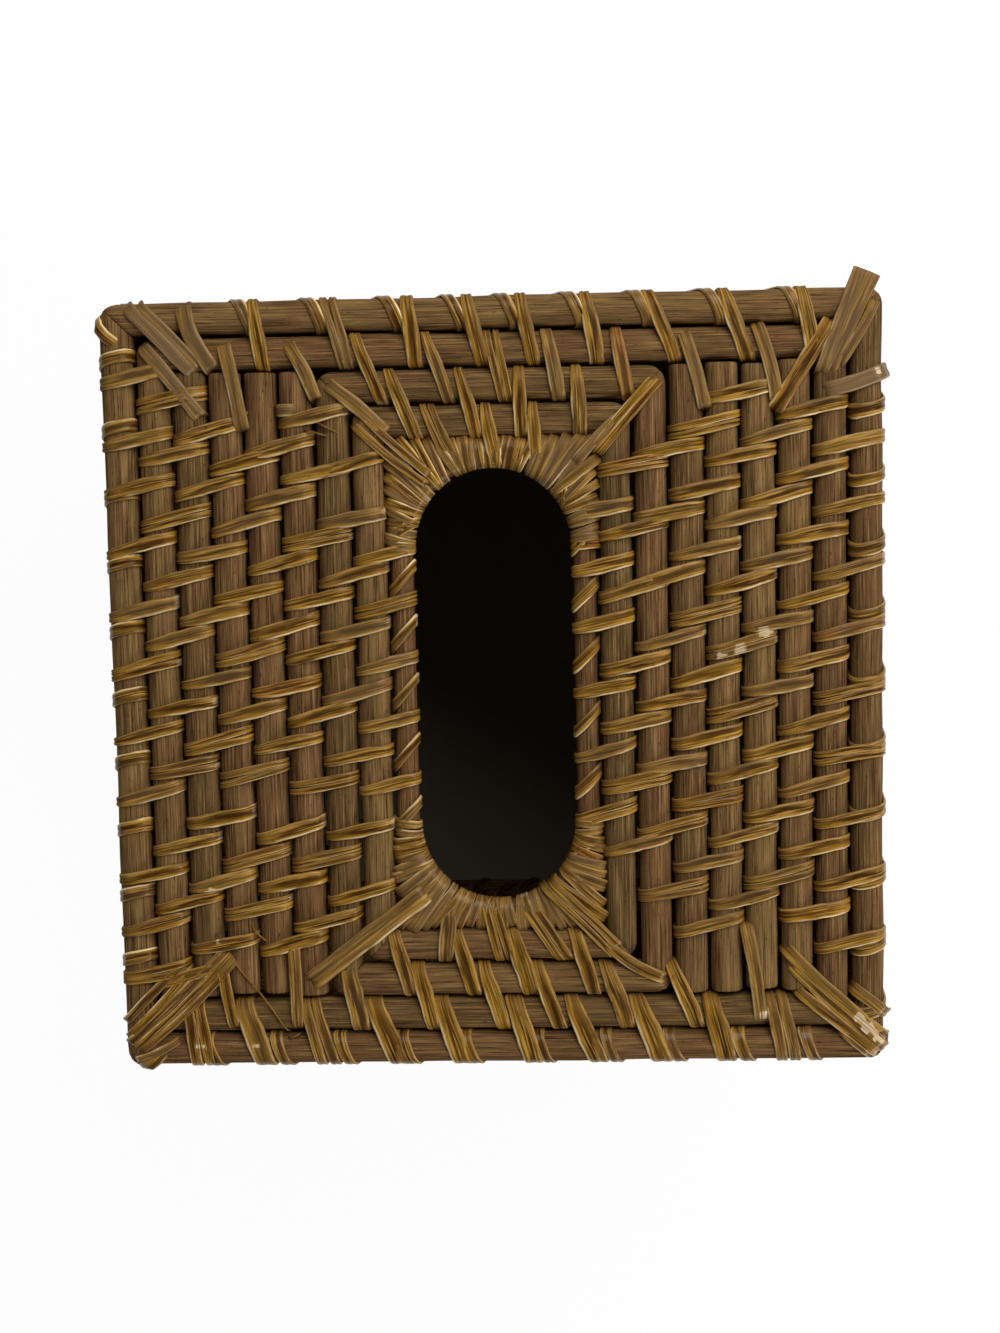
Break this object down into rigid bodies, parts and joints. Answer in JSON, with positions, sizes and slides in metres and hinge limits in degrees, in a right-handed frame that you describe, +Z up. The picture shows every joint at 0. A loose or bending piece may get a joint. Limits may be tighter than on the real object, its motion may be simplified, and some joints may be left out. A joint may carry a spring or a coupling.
{
  "type": "tissue box cover",
  "caption": "Square tissue box cover of round rattan rods stitched with split-rattan strips, open underneath, with a round-ended slot in its flat top.",
  "frame": {"origin": "middle of the base, on the surface that the cover stands on", "axes": "+Z up out of the top; +Y towards the back, along the long slot; +X to the right"},
  "size_m": [0.1406, 0.1406, 0.141],
  "materials": {
    "rattan_rod": "round rattan core, stained grey-brown, matt, with fine streaks along the rod",
    "rattan_strip": "split rattan peel, golden brown to olive, glossy lacquer, paler edges"
  },
  "bodies": {
    "root": {"edge_rod_right": "rattan_rod", "edge_rod_back": "rattan_rod", "edge_rod_left": "rattan_rod", "edge_rod_front": "rattan_rod", "second_rod_right": "rattan_rod", "second_rod_back": "rattan_rod", "second_rod_left": "rattan_rod", "second_rod_front": "rattan_rod", "outer_frame_rod_right": "rattan_rod", "outer_frame_rod_back": "rattan_rod", "outer_frame_rod_left": "rattan_rod", "outer_frame_rod_front": "rattan_rod", "inner_frame_rod_right": "rattan_rod", "inner_frame_rod_back": "rattan_rod", "inner_frame_rod_left": "rattan_rod", "inner_frame_rod_front": "rattan_rod", "straight_rod_right_1": "rattan_rod", "straight_rod_right_2": "rattan_rod", "straight_rod_right_3": "rattan_rod", "straight_rod_right_4": "rattan_rod", "straight_rod_left_1": "rattan_rod", "straight_rod_left_2": "rattan_rod", "straight_rod_left_3": "rattan_rod", "straight_rod_left_4": "rattan_rod", "opening_rod": "rattan_rod", "wall_course_01": "rattan_rod", "wall_course_02": "rattan_rod", "wall_course_03": "rattan_rod", "wall_course_04": "rattan_rod", "wall_course_05": "rattan_rod", "wall_course_06": "rattan_rod", "wall_course_07": "rattan_rod", "wall_course_08": "rattan_rod", "wall_course_09": "rattan_rod", "wall_course_10": "rattan_rod", "wall_course_11": "rattan_rod", "wall_course_12": "rattan_rod", "wall_course_13": "rattan_rod", "wall_course_14": "rattan_rod", "wall_course_15": "rattan_rod", "wall_course_16": "rattan_rod", "wall_course_17": "rattan_rod", "wall_course_18": "rattan_rod", "wall_course_19": "rattan_rod", "wall_course_20": "rattan_rod", "wall_course_21": "rattan_rod", "top_stitches_right": "rattan_strip", "top_stitches_back": "rattan_strip", "top_stitches_left": "rattan_strip", "top_stitches_front": "rattan_strip", "wall_stitches_right": "rattan_strip", "wall_stitches_back": "rattan_strip", "wall_stitches_left": "rattan_strip", "wall_stitches_front": "rattan_strip", "opening_wraps": "rattan_strip", "opening_corner_strips": "rattan_strip", "top_corner_strips": "rattan_strip", "wall_corner_strips": "rattan_strip", "base_stitches": "rattan_strip"}
  },
  "joints": []
}
